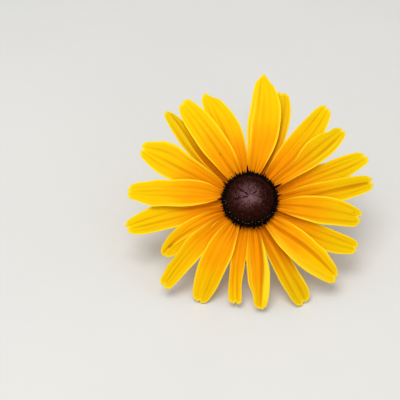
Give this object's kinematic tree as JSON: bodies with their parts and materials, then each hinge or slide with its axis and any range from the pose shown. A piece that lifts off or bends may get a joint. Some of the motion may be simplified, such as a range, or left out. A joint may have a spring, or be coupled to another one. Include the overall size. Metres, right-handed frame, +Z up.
{
  "type": "black eyed susan flower",
  "caption": "Cut black eyed susan lying down: overlapping yellow ray petals round a brown domed cone with a dark floret ring, green bracts and a curved stem.",
  "frame": {"origin": "middle of the object's box, on the surface that the flower lies on", "axes": "+Z up from the surface, +Y from the flower's face back along its stem, +X to the right of the flower seen from its face"},
  "size_m": [0.089, 0.122, 0.0561],
  "materials": {
    "petal_yellow": "soft matte petal, orange at the root and yellow at the tip",
    "cone_brown": "fuzzy matte brown-purple chaff",
    "floret_black": "matte near-black florets",
    "stem_green": "matte hairy green stem and bracts"
  },
  "bodies": {
    "root": {"ray_petals": "petal_yellow", "closed_floret_cone": "cone_brown", "dark_floret_ring": "floret_black", "stem_and_bracts": "stem_green"}
  },
  "joints": []
}
